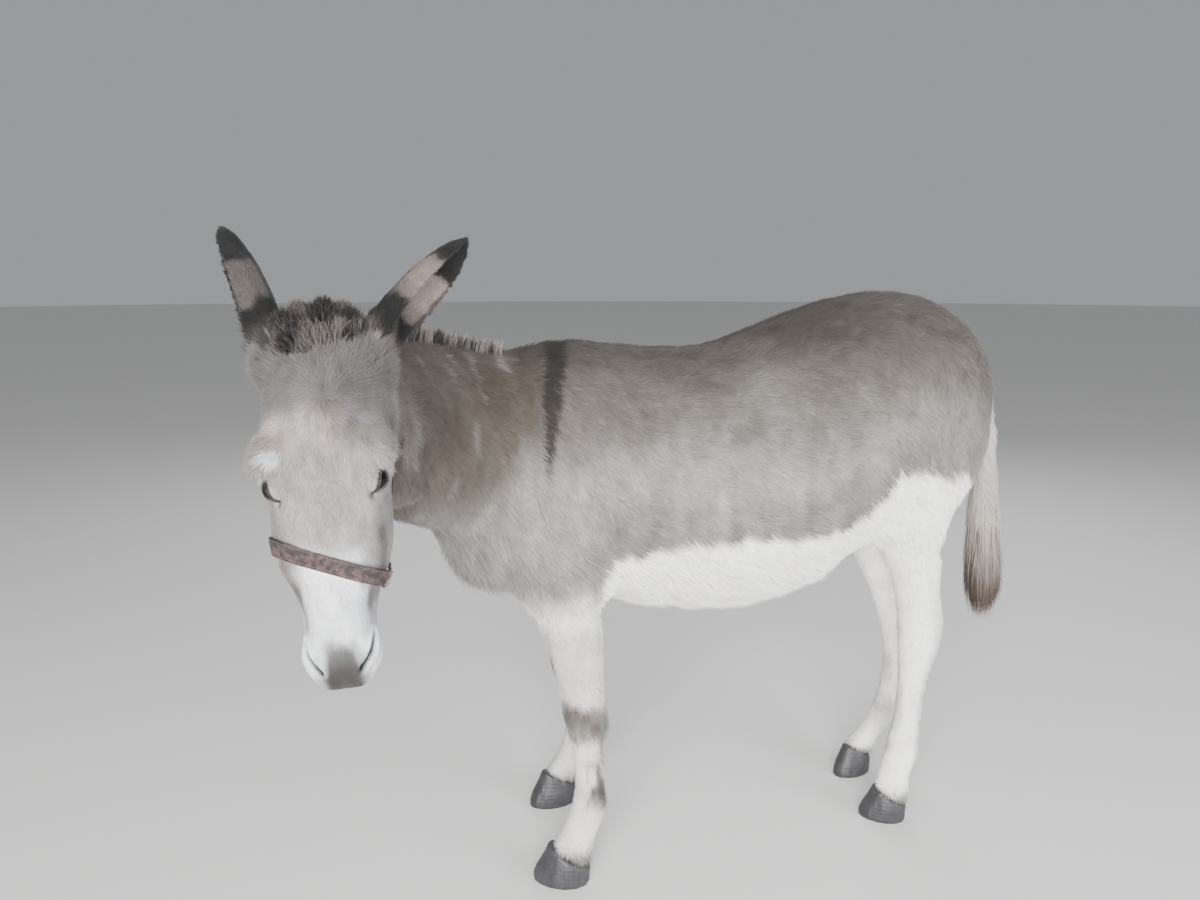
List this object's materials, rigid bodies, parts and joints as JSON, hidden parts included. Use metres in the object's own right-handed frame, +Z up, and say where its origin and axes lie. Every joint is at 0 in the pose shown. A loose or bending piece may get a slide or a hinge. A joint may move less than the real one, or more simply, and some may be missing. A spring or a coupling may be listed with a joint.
{
  "type": "life-size standing donkey model",
  "caption": "Still, life-size model of a grey donkey standing on its four hooves, head turned to its left, wearing a webbing halter.",
  "frame": {"origin": "on the floor, under the middle of the whole donkey's box", "axes": "+Z up; the donkey faces -X and its left side is -Y; +X runs to the rump and tail"},
  "size_m": [1.6776, 0.8724, 1.3192],
  "materials": {
    "coat": "short woolly fur, grey-beige with white belly and legs",
    "long_hair": "coarse hair in locks, grey with brown-black streaks",
    "horn": "dull slate-grey horn",
    "eye": "wet, dark brown",
    "webbing": "worn, mottled brown webbing",
    "ring_metal": "dull, worn metal"
  },
  "bodies": {
    "root": {"trunk": "coat", "neck": "coat", "head": "coat", "eye_left": "eye", "eye_right": "eye", "ear_left": "coat", "ear_right": "coat", "forelock": "long_hair", "mane": "long_hair", "tail": "coat", "tail_switch": "long_hair", "halter_noseband": "webbing", "halter_chinband": "webbing", "halter_headstall": "webbing", "halter_ring_left": "ring_metal", "halter_ring_right": "ring_metal", "foreleg_left": "coat", "forehoof_left": "horn", "foreleg_right": "coat", "forehoof_right": "horn", "hindleg_left": "coat", "hindhoof_left": "horn", "hindleg_right": "coat", "hindhoof_right": "horn"}
  },
  "joints": []
}
